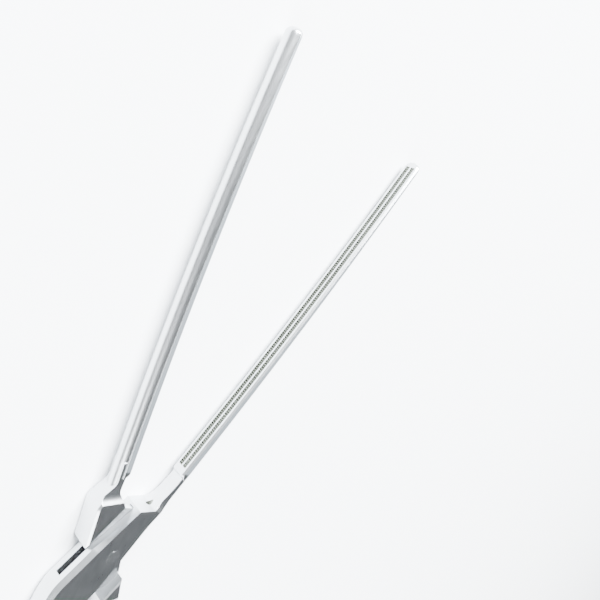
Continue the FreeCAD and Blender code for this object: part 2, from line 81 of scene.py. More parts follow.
# Numbers of parts of curves.
CORNER_STEPS = 6
PIVOT_ARC_STEPS = 24
BEND_STEPS = 12
CROWN_STEPS = 8
NECK_STEPS = 8
LEAD_STEPS = 8
FACE_STEPS = 4
BACK_STEPS = 48
TIP_STEPS = 12
RING_STEPS = 120
SLOT_STEPS = 160
BORE_STEPS = 48
VENT_STEPS = 32
PIN_STEPS = 64
# How far a tool clears the face that it cuts, and how far tools reach, in millimetres.
CLEAR = 1.0
BORE_REACH = 5.0
FACE_REACH = 6.0
RAMP_REACH = 14.0
BEVEL_REACH = 40.0


@dataclass(frozen=True)
class LockSizes:
    """Sizes of the box lock, in millimetres.

    Attributes:
        thick: Thickness over the two lock faces.
        slot_radius: Radius of the round slot.
        slot_height: Opening of the slot.
        waist_gap: Gap between the waist and each slot wall.
        waist_end_gap: Gap between the waist and the end of the slot.
        waist_bevel: Width and height of the bevel along the waisted half's walls.
        stop_angle: Lean of the shoulders, in degrees.
        stop_distance: Distance of the shoulders from the pivot.
        stop_bevel: Bevel along the shoulders.
        stop_end: Distance along the long axis at which the shoulders end.
        bevel: Width of the bevel along the box's walls.
        bevel_height: Height of that bevel.
        pin: Diameter of the pin bore.
        pin_gap: Radial gap between the pin and the waist.
        pin_spread: Radial spread of the pin's end.
        pin_flare: Depth over which it spreads.
        pin_proud: How far it stands above the lock face.
        vent: Diameter of the relief hole.
        vent_x: Offset of the relief hole.
        vent_end: Where the relief hole opens in the crotch.
        ramp_start: Where the lock faces end.
        ramp_length: Length of the ramp to the neck.
        neck_thick: Thickness of the neck.
    """

    thick: float = 6.2
    slot_radius: float = 11.2
    slot_height: float = 1.5
    waist_gap: float = 0.06
    waist_end_gap: float = 0.15
    waist_bevel: float = 0.45
    stop_angle: float = 35.0
    stop_distance: float = 8.6
    stop_bevel: float = 0.35
    stop_end: float = 12.9
    bevel: float = 1.1
    bevel_height: float = 1.0
    pin: float = 3.0
    pin_gap: float = 0.05
    pin_spread: float = 0.13
    pin_flare: float = 0.02
    pin_proud: float = 0.004
    vent: float = 1.3
    vent_x: float = 1.55
    vent_end: float = 16.0
    ramp_start: float = 12.9
    ramp_length: float = 3.2
    neck_thick: float = 4.0

    @property
    def half(self) -> float:
        """Half of the lock's thickness."""
        return self.thick / 2.0


@dataclass(frozen=True)
class JawSizes:
    """Sizes of a toothed jaw, in millimetres.

    Attributes:
        tip: Distance from the pivot to the tip.
        length: Chord of the toothed face.
        toe: Lean of the closed face, in degrees.
        bow: Outward bow of the face.
        meet: Gap from the closed face to the long axis.
        width: Width of the plate.
        plate: Side height of the plate at base and tip.
        lead: Length of the step at the plate's base.
        step: Share of the plate's height that the step takes.
        shelf: Ledge beside the rounded back.
        back: Whole height at base and tip.
        back_round: Height of the rounded part.
        back_start: Where the rounded back begins on the neck.
        back_lap: How far it starts inside the neck.
        neck_lap: How far the neck runs on under the plate.
        tip_side: Tip radius seen from the lock face.
        tip_face: Tip radius seen on the toothed face.
        bevel: Bevel along both edges of the face.
        teeth: Number of cross cuts.
        pitch: Pitch of the cross cuts.
        land: Share of the pitch left flat on a crest.
        depth: Depth of the cross cuts.
        margin: Plain length at the tip.
        row_mid: Offset of each row of teeth.
        row_wide: Width of each row of teeth.
        strip: Least strip left between a row and an edge.
    """

    tip: float = 118.0
    length: float = 95.0
    toe: float = 1.5
    bow: float = 1.0
    meet: float = 0.06
    width: float = 4.4
    plate: Point = (1.7, 0.8)
    lead: float = 1.6
    step: float = 0.97
    shelf: float = 0.25
    back: Point = (3.5, 2.5)
    back_round: float = 2.3
    back_start: float = 15.8
    back_lap: float = 0.4
    neck_lap: float = 2.2
    tip_side: float = 1.5
    tip_face: float = 1.7
    bevel: float = 0.42
    teeth: int = 152
    pitch: float = 0.61
    land: float = 0.06
    depth: float = 0.36
    margin: float = 1.4
    row_mid: float = 0.74
    row_wide: float = 1.10
    strip: float = 0.02


@dataclass(frozen=True)
class LimbSizes:
    """Sizes of shank, ring and ratchet, in millimetres.

    Attributes:
        wide: Width of the shank.
        thick: Thickness of the shank.
        bevel: Bevel along its edges.
        ease: Rounding of the bevels' edges, as a share of the bevel.
        path: Places of the shank's bends, from the axis and from the pivot.
        ring_inner: Inside diameter of a ring.
        ring_stock: Radial width of the ring stock.
        ring_thick: Thickness of the ring stock.
        ring_bevel: Bevel of the ring stock.
        ring_join: Angle round the ring where the shank joins.
        ring_y: Distance from the pivot to a ring centre.
        ring_gap: Gap between the closed rings.
        rack_y: Distance from the pivot to the ratchet.
        rack_wide: Width of a rack.
        rack_thick: Thickness of a rack.
        rack_reach: Reach of a rack past the long axis.
        rack_root: Distance from the long axis to a rack's root in the shank.
        rack_corner: Bevel at a rack's end.
        rack_teeth: Number of ratchet teeth.
        rack_pitch: Pitch of the ratchet teeth.
        rack_tooth: Height of the ratchet teeth.
        rack_crest: Share of the pitch left flat on a crest.
        rack_relief: Run-out behind the last tooth.
        rack_gap: Gap between the two sets of crests.
    """

    wide: float = 4.4
    thick: float = 4.2
    bevel: float = 1.2
    ease: float = 0.64
    path: tuple[Point, ...] = ((4.65, 14.0), (5.2, 48.0), (6.0, 82.0))
    ring_inner: float = 23.0
    ring_stock: float = 4.8
    ring_thick: float = 4.6
    ring_bevel: float = 1.3
    ring_join: float = 55.0
    ring_y: float = 106.0
    ring_gap: float = 0.5
    rack_y: float = 84.0
    rack_wide: float = 4.2
    rack_thick: float = 1.9
    rack_reach: float = 2.8
    rack_root: float = 6.0
    rack_corner: float = 0.7
    rack_teeth: int = 4
    rack_pitch: float = 1.5
    rack_tooth: float = 0.6
    rack_crest: float = 0.25
    rack_relief: float = 0.3
    rack_gap: float = 0.12

    @property
    def ring_x(self) -> float:
        """Distance of a ring centre from the closed long axis."""
        return self.ring_inner / 2.0 + self.ring_stock + self.ring_gap / 2.0


@dataclass(frozen=True)
class HalfPlan:
    """What sets one half apart from the other.

    Attributes:
        node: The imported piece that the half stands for.
        body: The body that it rides on.
        side: +1 for the jaw on +X, -1 for the jaw on -X.
        base_shift: How far its plate starts nearer to the pivot.
        neck: Inner and outer distance of the rounded neck from the axis.
        upper_ramp: Start and length of the ramps on the jaw's side.
    """

    node: Node
    body: str
    side: int
    base_shift: float
    neck: Point
    upper_ramp: Point


SLOTTED_PLAN = HalfPlan(node=Node.SLOTTED, body="slotted", side=1, base_shift=0.0, neck=(3.0, 4.9),
                        upper_ramp=(12.9, 3.2))
WAISTED_PLAN = HalfPlan(node=Node.WAISTED, body="waisted", side=-1, base_shift=1.3, neck=(3.7, 6.0),
                        upper_ramp=(14.6, 2.0))


class Solid:
    """Closed meshes and what is done with them, in millimetres until placed."""

    @staticmethod
    def make(name: str, points: list[Vector], faces: list[tuple[int, ...]]) -> bpy.types.Object:
        """Build one closed mesh with outward faces.

        Args:
            name: Name of the object.
            points: Its points.
            faces: Its faces, as numbers of points.

        Returns:
            The new object.
        """
        mesh = bpy.data.meshes.new(name)
        mesh.from_pydata(points, [], faces)
        work = bmesh.new()
        work.from_mesh(mesh)
        bmesh.ops.remove_doubles(work, verts=work.verts, dist=MERGE)
        bmesh.ops.dissolve_degenerate(work, dist=MERGE, edges=work.edges)
        bmesh.ops.recalc_face_normals(work, faces=work.faces)
        work.to_mesh(mesh)
        work.free()
        piece = bpy.data.objects.new(name, mesh)
        bpy.context.collection.objects.link(piece)
        return piece

    @staticmethod
    def loft(name: str, rings: list[list[Vector]], closed: bool = False) -> bpy.types.Object:
        """Skin rings of equal count, capped at both ends unless closed on itself.

        Args:
            name: Name of the object.
            rings: The rings of points in order.
            closed: Whether the last ring joins the first.

        Returns:
            The new object.
        """
        count = len(rings[0])
        points = [point for ring in rings for point in ring]
        faces: list[tuple[int, ...]] = []
        last = len(rings) if closed else len(rings) - 1
        for i in range(last):
            a, b = i * count, (i + 1) % len(rings) * count
            for k in range(count):
                n = (k + 1) % count
                faces.append((a + k, a + n, b + n, b + k))
        if not closed:
            faces.append(tuple(reversed(range(count))))
            faces.append(tuple(range((len(rings) - 1) * count, len(rings) * count)))
        return Solid.make(name, points, faces)

    @staticmethod
    def prism(name: str, outline: list[Point], low: float, high: float,
              turn: Matrix | None = None) -> bpy.types.Object:
        """Straight prism over an outline.

        Args:
            name: Name of the object.
            outline: The outline in the first two axes.
            low: Start along the third axis.
            high: End along the third axis.
            turn: Turns the prism from those axes into place.

        Returns:
            The new object.
        """
        place = turn or Matrix.Identity(4)
        return Solid.loft(name, [[place @ Vector((x, y, z)) for x, y in outline] for z in (low, high)])

    @staticmethod
    def drum(radius: float, low: float, high: float, turn: Matrix | None = None,
             count: int = BORE_STEPS) -> bpy.types.Object:
        """Round tool.

        Args:
            radius: Radius of the tool.
            low: Start along its axis.
            high: End along its axis.
            turn: Turns the tool from the Z axis into place.
            count: Number of its sides.

        Returns:
            The new object.
        """
        outline = [(radius * math.cos(2 * math.pi * k / count), radius * math.sin(2 * math.pi * k / count))
                   for k in range(count)]
        return Solid.prism("drum", outline, low, high, turn)

    @staticmethod
    def combine(base: bpy.types.Object, tools: list[bpy.types.Object], operation: str) -> bpy.types.Object:
        """Apply one boolean operation with each tool in turn, and remove the tools.

        Args:
            base: The solid that is changed.
            tools: The solids that change it.
            operation: "UNION" or "DIFFERENCE".

        Returns:
            The changed solid.
        """
        for tool in tools:
            step = base.modifiers.new("step", "BOOLEAN")
            step.operation = operation
            step.solver = "EXACT"
            step.object = tool
            bpy.context.view_layer.update()
            graph = bpy.context.evaluated_depsgraph_get()
            result = bpy.data.meshes.new_from_object(base.evaluated_get(graph))
            base.modifiers.clear()
            base.data = result
            bpy.data.objects.remove(tool)
        return base


def corner_arc(before: Vector, here: Vector, after: Vector, radius: float, steps: int) -> list[Point]:
    """Points that round one corner.

    Args:
        before: The corner before it.
        here: The corner.
        after: The corner after it.
        radius: Radius of the rounding, made smaller where a side is short.
        steps: Number of parts of the rounding.

    Returns:
        The points in order.
    """
    back, ahead = (before - here).normalized(), (after - here).normalized()
    half_turn = back.angle(ahead) / 2.0
    reach = min(radius / math.tan(half_turn), SIDE_SHARE * (before - here).length,
                SIDE_SHARE * (after - here).length)
    used = reach * math.tan(half_turn)
    centre = here + (back + ahead).normalized() * (used / math.sin(half_turn))
    first = here + back * reach - centre
    turn = (here + ahead * reach - centre).angle_signed(first)
    points = []
    for k in range(steps + 1):
        arm = first.copy()
        arm.rotate(Matrix.Rotation(turn * k / steps, 2))
        points.append(tuple(centre + arm))
    return points


def pivot_arc(here: Vector, after: Vector, radius: float) -> list[Point]:
    """Points between two corners on an arc about the pivot.

    Args:
        here: The corner where the arc starts.
        after: The corner where it ends.
        radius: Radius of the arc.

    Returns:
        The points in order, without the two corners.
    """
    start = math.atan2(here.y, here.x)
    sweep = (math.atan2(after.y, after.x) - start + math.pi) % (2 * math.pi) - math.pi
    angles = [start + sweep * k / PIVOT_ARC_STEPS for k in range(1, PIVOT_ARC_STEPS)]
    return [(radius * math.cos(angle), radius * math.sin(angle)) for angle in angles]


def rounded(corners: list[Corner], arcs: dict[int, float], shift: float,
            steps: int = CORNER_STEPS) -> list[Point]:
    """Points of a closed outline with rounded corners.

    Args:
        corners: Corners as x, y, radius and share of the shift along X.
        arcs: Sides that are arcs about the pivot, with their radius.
        shift: Distance along X that a full share moves a corner.
        steps: Number of parts of each rounding.

    Returns:
        The points in order.
    """
    places = [Vector((x + share * shift, y)) for x, y, _, share in corners]
    points: list[Point] = []
    for i, (_, _, radius, _) in enumerate(corners):
        here, before, after = places[i], places[i - 1], places[(i + 1) % len(places)]
        points += corner_arc(before, here, after, radius, steps) if radius > 0 else [(here.x, here.y)]
        if i in arcs:
            points += pivot_arc(here, after, arcs[i])
    return points


class HalfForm(ABC):
    """Shape of one half of the clamp, drawn closed in its own frame."""

    def __init__(self, plan: HalfPlan, lock: LockSizes, jaw: JawSizes, limb: LimbSizes) -> None:
        """Keep the plan and sizes and work out the arc of the toothed face.

        Args:
            plan: What sets the half apart.
            lock: Sizes of the box lock.
            jaw: Sizes of the jaw.
            limb: Sizes of shank, ring and ratchet.
        """
        self.plan, self.lock, self.jaw, self.limb = plan, lock, jaw, limb
        toe = math.radians(jaw.toe)
        along, across = Vector((-math.sin(toe), math.cos(toe))), Vector((math.cos(toe), math.sin(toe)))
        self.radius = (jaw.length ** 2 / 4.0 + jaw.bow ** 2) / (2.0 * jaw.bow)
        middle = Vector((jaw.meet, jaw.tip)) - along * (jaw.length / 2.0) + across * jaw.bow
        centre = middle - across * self.radius
        self.centre = Vector((plan.side * centre.x, centre.y))
        self.half_arc = self.radius * math.asin(jaw.length / 2.0 / self.radius)
        self.base = -self.half_arc - plan.base_shift
        self.neck_end = jaw.tip - jaw.length * math.cos(toe) + jaw.neck_lap

    @property
    def first_cut(self) -> float:
        """Place along the face where the cross cuts begin."""
        return self.half_arc - self.jaw.margin - self.jaw.teeth * self.jaw.pitch

    def on_face(self, along: float, outward: float, z: float) -> Vector:
        """Point at a distance along the toothed face and outward from it.

        Args:
            along: Distance along the face from its middle, toward the tip.
            outward: Distance from the face into the jaw.
            z: Height over the middle of the lock.

        Returns:
            The point.
        """
        side = self.plan.side
        lean = math.radians(self.jaw.toe if side > 0 else 180.0 - self.jaw.toe) + side * along / self.radius
        reach = self.radius + outward
        return Vector((self.centre.x + reach * math.cos(lean), self.centre.y + reach * math.sin(lean), z))

    def blend(self, pair: Point, along: float) -> float:
        """Value of a size between its base and its tip.

        Args:
            pair: The size at base and tip.
            along: Place along the face.

        Returns:
            The size at that place.
        """
        share = min(max((along - self.base) / (self.half_arc - self.base), 0.0), 1.0)
        return pair[0] + (pair[1] - pair[0]) * share

    def pinch(self, along: float, radius: float) -> float:
        """How much the blunt tip takes off at a place along the face.

        Args:
            along: Place along the face.
            radius: Radius of the blunt tip.

        Returns:
            The height or width taken off.
        """
        left = max(self.half_arc - along, 0.0)
        if left >= radius:
            return 0.0
        return radius - math.sqrt(radius ** 2 - (radius - left) ** 2)

    def stations(self) -> list[Point]:
        """Places along the face and the depth of the teeth there."""
        jaw, first = self.jaw, self.first_cut
        marks = [(self.base - jaw.lead * (1 - k / LEAD_STEPS), 0.0) for k in range(LEAD_STEPS)]
        marks.append((self.base, 0.0))
        marks.extend((first * k / FACE_STEPS + self.base * (1 - k / FACE_STEPS), 0.0)
                     for k in range(1, FACE_STEPS))
        for k in range(jaw.teeth):
            crest = first + k * jaw.pitch
            marks.append((crest, 0.0))
            marks.append((crest + jaw.pitch * jaw.land, 0.0))
            marks.append((crest + jaw.pitch * (1 + jaw.land) / 2, jaw.depth))
        end = first + jaw.teeth * jaw.pitch
        marks.append((end, 0.0))
        marks.extend((end + (self.half_arc - end) * (1 - (1 - k / TIP_STEPS) ** 2), 0.0)
                     for k in range(1, TIP_STEPS + 1))
        return marks

    def plate(self) -> bpy.types.Object:
        """Toothed plate with its two rows of teeth and bevelled edges."""
        jaw = self.jaw
        rings = []
        low, high = jaw.row_mid - jaw.row_wide / 2, jaw.row_mid + jaw.row_wide / 2
        for along, depth in self.stations():
            edge = jaw.width / 2 - self.pinch(along, jaw.tip_face)
            plate = self.blend(jaw.plate, along)
            lift = 0.0
            if along < self.base:
                lift = plate * jaw.step * ((self.base - along) / jaw.lead) ** 3
            bevel = min(jaw.bevel, (plate - lift) * 0.6)
            inner = min(high, edge - bevel - jaw.strip)
            near = min(low, inner - jaw.strip)
            profile = [(plate, edge), (lift + bevel, edge), (lift, edge - bevel), (lift, inner),
                       (lift + depth, inner), (lift + depth, near), (lift, near)]
            profile += [(u, -z) for u, z in reversed(profile)]
            rings.append([self.on_face(along, u, z) for u, z in profile])
        return Solid.loft("plate", rings)

    def back(self) -> bpy.types.Object:
        """Rounded back, from the neck to the tip."""
        return Solid.loft("back", self.neck_rings() + self.back_rings())

    def neck_rings(self) -> list[list[Vector]]:
        """Sections of the rounded back along the neck, up to the plate."""
        jaw, side = self.jaw, self.plan.side
        inner, outer = self.plan.neck
        foot = self.on_face(self.base, 0.0, 0.0)
        start, lap, smooth = jaw.back_start, jaw.back_lap, 0.35
        low_base = side * foot.x + self.blend(jaw.plate, self.base) * 0.5
        high_base = side * foot.x + jaw.back[0]
        rings = []
        for k in range(NECK_STEPS):
            share = k / NECK_STEPS
            ease = share * share * (3 - 2 * share) * smooth + share * (1 - smooth)
            low = inner + lap + (low_base - inner - lap) * share
            high = outer + (high_base - outer) * ease
            rings.append(self.dee(lambda u: Vector((side * u, start + (foot.y - start) * share, 0)),
                                  low, high, jaw.width / 2 - jaw.shelf))
        return rings

    def back_rings(self) -> list[list[Vector]]:
        """Sections of the rounded back over the plate, closer together at the tip."""
        jaw = self.jaw
        length = self.half_arc - self.base
        places = [self.base + length * k / BACK_STEPS for k in range(BACK_STEPS)]
        places += [self.half_arc - (length / BACK_STEPS) * (1 - k / TIP_STEPS) ** 2
                   for k in range(TIP_STEPS + 1)]
        rings = []
        for place in places:
            along = min(place, self.half_arc - 0.02)
            half = min(jaw.width / 2 - jaw.shelf, jaw.width / 2 - self.pinch(along, jaw.tip_face) - 0.03)
            high = self.blend(jaw.back, along) - self.pinch(along, jaw.tip_side)
            low = min(self.blend(jaw.plate, along) * 0.5, high - 0.3)
            rings.append(self.dee(lambda u: self.on_face(along, u, 0), low, high, half))
        return rings

    def dee(self, place: Callable[[float], Vector], low: float, high: float, half: float) -> list[Vector]:
        """D-shaped section between two distances from the face.

        Args:
            place: Gives the point at a distance from the face.
            low: Distance of the flat side.
            high: Distance of the crown.
            half: Half of the section's width.

        Returns:
            The points in order.
        """
        crown = min(self.jaw.back_round, (high - low) * 0.8)
        profile = [(low, -half), (low, half), (high - crown, half)]
        arm = (half ** 2 + crown ** 2) / (2 * crown)
        wide = math.asin(min(half / arm, 1.0))
        for k in range(1, 2 * CROWN_STEPS):
            angle = wide * (1 - k / CROWN_STEPS)
            profile.append((high - arm + arm * math.cos(angle), arm * math.sin(angle)))
        profile.append((high - crown, -half))
        return [place(u) + Vector((0, 0, z)) for u, z in profile]

    def bar(self, wide: float, thick: float, bevel: float) -> list[Point]:
        """Section of bevelled bar with eased corners.

        Args:
            wide: Width of the bar.
            thick: Thickness of the bar.
            bevel: Width of its bevels.

        Returns:
            The points in order.
        """
        a, b, ease = wide / 2, thick / 2, bevel * self.limb.ease
        corners = [(a, b - bevel), (a - bevel, b), (bevel - a, b), (-a, b - bevel),
                   (-a, bevel - b), (bevel - a, -b), (a - bevel, -b), (a, bevel - b)]
        return rounded([(x, y, ease, 0.0) for x, y in corners], {}, 0.0, 2)

    def shank_path(self) -> list[Vector]:
        """Middle line of the shank, with soft bends."""
        limb, side = self.limb, self.plan.side
        join, turn = (limb.ring_inner + limb.ring_stock) / 2, math.radians(limb.ring_join)
        corners = [Vector((-side * x, -y)) for x, y in limb.path]
        corners.append(Vector((-side * (limb.ring_x - join * math.cos(turn)),
                               -(limb.ring_y - join * math.sin(turn)))))
        path = [corners[0]]
        for before, corner, after in zip(corners, corners[1:], corners[2:]):
            reach = SIDE_SHARE * min((corner - before).length, (after - corner).length)
            first = corner + (before - corner).normalized() * reach
            last = corner + (after - corner).normalized() * reach
            for k in range(BEND_STEPS + 1):
                t = k / BEND_STEPS
                path.append(first * (1 - t) ** 2 + corner * 2 * t * (1 - t) + last * t ** 2)
        path.append(corners[-1])
        return path

    def shank(self) -> bpy.types.Object:
        """Bevelled shank from the lock to the ring."""
        limb, path = self.limb, self.shank_path()
        section = self.bar(limb.wide, limb.thick, limb.bevel)
        rings = []
        for i, point in enumerate(path):
            ahead = (path[min(i + 1, len(path) - 1)] - path[max(i - 1, 0)]).normalized()
            rings.append([Vector((point.x - ahead.y * u, point.y + ahead.x * u, z)) for u, z in section])
        return Solid.loft("shank", rings)

    def ring(self) -> bpy.types.Object:
        """Finger ring of bevelled bar."""
        limb = self.limb
        middle = (limb.ring_inner + limb.ring_stock) / 2
        centre = Vector((-self.plan.side * limb.ring_x, -limb.ring_y))
        section = self.bar(limb.ring_stock, limb.ring_thick, limb.ring_bevel)
        rings = []
        for k in range(RING_STEPS):
            angle = 2 * math.pi * k / RING_STEPS
            rings.append([Vector((centre.x + (middle + u) * math.cos(angle),
                                  centre.y + (middle + u) * math.sin(angle), z)) for u, z in section])
        return Solid.loft("ring", rings, closed=True)

    def rack(self) -> bpy.types.Object:
        """Ratchet rack on the inner side of the shank."""
        limb, side = self.limb, self.plan.side
        crest = side * limb.rack_gap / 2
        root, back = crest + side * limb.rack_tooth, crest + side * limb.rack_thick
        end, corner = side * limb.rack_reach, side * limb.rack_corner
        points = [(-side * limb.rack_root, back), (end - corner, back), (end, back - corner), (end, crest)]
        x = end
        for _ in range(limb.rack_teeth):
            x -= side * limb.rack_crest * limb.rack_pitch
            points += [(x, crest), (x, root)]
            x -= side * (1 - limb.rack_crest) * limb.rack_pitch
            points.append((x, crest))
        points += [(x - side * limb.rack_relief, root), (-side * limb.rack_root, root)]
        half = limb.rack_wide / 2
        return Solid.loft("rack", [[Vector((x, -limb.rack_y + y, z)) for x, z in points]
                                   for y in (-half, half)])

    def ramp(self, direction: int, face: int, start: float, length: float) -> bpy.types.Object:
        """Tool that hollows one face down to the neck or shank.

        Args:
            direction: +1 toward the jaw, -1 toward the shank.
            face: +1 for the upper face, -1 for the lower.
            start: Where the ramp starts, from the pivot.
            length: Length of the ramp.

        Returns:
            The tool.
        """
        half, top = self.lock.neck_thick / 2, self.lock.half + CLEAR
        rise = self.lock.half - half
        radius = (length ** 2 + rise ** 2) / (2 * rise)
        full = math.asin(length / radius)
        points = []
        for k in range(BEND_STEPS + 1):
            bend = full * (1 - k / BEND_STEPS)
            points.append((start + length - radius * math.sin(bend), half + radius * (1 - math.cos(bend))))
        points += [(start + length + RAMP_REACH, half), (start + length + RAMP_REACH, top), (start, top)]
        return Solid.loft("ramp", [[Vector((x, direction * y, face * z)) for y, z in points]
                                   for x in (-RAMP_REACH, RAMP_REACH)])

    def ramps(self) -> list[bpy.types.Object]:
        """The four ramp tools of a half."""
        lock = self.lock
        tools = [self.ramp(1, face, *self.plan.upper_ramp) for face in (1, -1)]
        return tools + [self.ramp(-1, face, lock.ramp_start, lock.ramp_length) for face in (1, -1)]

    def block(self, corners: list[Corner], arcs: dict[int, float], width: float,
              height: float) -> bpy.types.Object:
        """Full-thickness lock with bevelled walls.

        Args:
            corners: Corners of its outline, as in rounded.
            arcs: Sides that are arcs about the pivot, with their radius.
            width: Width of the bevels.
            height: Height of the bevels.

        Returns:
            The new object.
        """
        half = self.lock.half
        walls, faces = rounded(corners, arcs, 0.0), rounded(corners, arcs, width)
        levels = ((faces, -half), (walls, height - half), (walls, half - height), (faces, half))
        return Solid.loft("lock", [[Vector((x, y, z)) for x, y in outline] for outline, z in levels])

    @abstractmethod
    def lock_solid(self) -> bpy.types.Object:
        """Lock of the half, which each kind of half draws for itself."""

    def zone_at(self, face: bpy.types.MeshPolygon) -> Zone:
        """Material of one face: satin steel, painted shade on the tooth rows, painted reflection on the
        plate's flat sides.

        Args:
            face: The face.

        Returns:
            Its finish.
        """
        jaw, spot, slack = self.jaw, face.center, 0.02
        depth = (spot.xy - self.centre).length - self.radius
        along = spot.y - (jaw.tip - jaw.length / 2)
        # Painted shade: the whole tooth rows, crests and grooves alike, take the dark steel.
        if self.first_cut < along < self.half_arc - jaw.margin:
            if -slack < depth < jaw.depth + slack and abs(abs(spot.z) - jaw.row_mid) < jaw.row_wide / 2:
                return Zone.CUT
        # Painted reflection: the plate's flat upper and lower sides take a bluish, rougher steel.
        if along > self.base and abs(face.normal.z) > 0.9 and abs(spot.z) > jaw.width / 2 - 0.05:
            return Zone.PAINTED_REFLECTION
        return Zone.SATIN

    def build(self, *steels: bpy.types.Material) -> bpy.types.Object:
        """Join all parts of the half, open it and seat it on the floor.

        Args:
            steels: The materials of the half, in the order of Zone.

        Returns:
            The finished piece, riding on its body.
        """
        piece = self.lock_solid()
        Solid.combine(piece, [self.back(), self.plate(), self.shank(), self.ring(), self.rack()], "UNION")
        mesh = piece.data
        # Material number of each face, painted shade and painted reflection included.
        face_zones = [self.zone_at(face) for face in mesh.polygons]
        turn = Matrix.Rotation(-self.plan.side * OPEN_HALF, 4, "Z")
        lift = Matrix.Translation((0, 0, self.lock.half))
        mesh.transform(Matrix.Scale(MM, 4) @ lift @ turn)
        piece.name = self.plan.node.value + "_steel"
        mesh.name = piece.name
        mesh.materials.clear()
        for steel in steels:
            mesh.materials.append(steel)
        mesh.polygons.foreach_set("material_index", face_zones)
        mesh.shade_smooth()
        mesh.set_sharp_from_angle(angle=SHARP_HALF)
        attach(piece, self.plan.body)
        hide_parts(self.plan.node.value)
        LOG.info("%s: %d faces", piece.name, len(mesh.polygons))
        return piece


class SlottedHalf(HalfForm):
    """Half whose box has the round slot."""

    def lock_solid(self) -> bpy.types.Object:
        """Box with slot, bore and relief hole."""
        lock = self.lock
        inner, outer = self.plan.neck
        crotch = [(inner + 0.2, self.neck_end, 0, 0), (inner + 0.5, 21.0, 3.0, 0), (inner, 16.6, 4.0, 0),
                  (1.9, 13.0, 1.2, 0), (-2.2, 11.5, 0.15, 0)]
        left = [(-3.7, 6.4, 8.0, 0.2), (-6.0, 0.0, 8.0, 1), (-6.9, -4.5, 20.0, 1), (-8.2, -10.5, 12.0, 1),
                (-7.4, -14.5, 4.0, 0.6), (-6.6, -18.0, 0, 0)]
        fork = [(-2.6, -18.0, 0, 0), (-2.5, -16.0, 2.0, 0), (-1.9, -13.0, 0.8, 0), (2.2, -11.5, 0.15, 0)]
        right = [(3.6, -8.0, 4.0, -0.8), (4.0, 0.0, 20.0, -1), (4.1, 9.0, 20.0, -1),
                 (outer - 0.4, 15.0, 6.0, -0.6), (outer - 0.3, self.neck_end, 0, 0)]
        block = self.block(crotch + left + fork + right, {}, lock.bevel, lock.bevel_height)
        along_y = Matrix.Translation((lock.vent_x, 0, 0)) @ Matrix.Rotation(-math.pi / 2, 4, "X")
        slot = lock.slot_height / 2
        tools = self.ramps()
        tools.append(Solid.drum(lock.slot_radius, -slot, slot, None, SLOT_STEPS))
        tools.append(Solid.drum(lock.pin / 2, -BORE_REACH, BORE_REACH))
        tools.append(Solid.drum(lock.vent / 2, lock.slot_radius - CLEAR, lock.vent_end, along_y, VENT_STEPS))
        return Solid.combine(block, tools, "DIFFERENCE")

    def zone_at(self, face: bpy.types.MeshPolygon) -> Zone:
        """Material of one face, with painted shade on the relief hole's wall.

        Args:
            face: The face.

        Returns:
            Its finish.
        """
        zone, spot, lock = super().zone_at(face), face.center, self.lock
        in_hole = math.hypot(spot.x - lock.vent_x, spot.z) < lock.vent * 0.52
        # Painted shade on the relief hole's wall.
        if zone is Zone.SATIN and lock.slot_radius < spot.y < lock.vent_end and in_hole:
            return Zone.CUT
        return zone


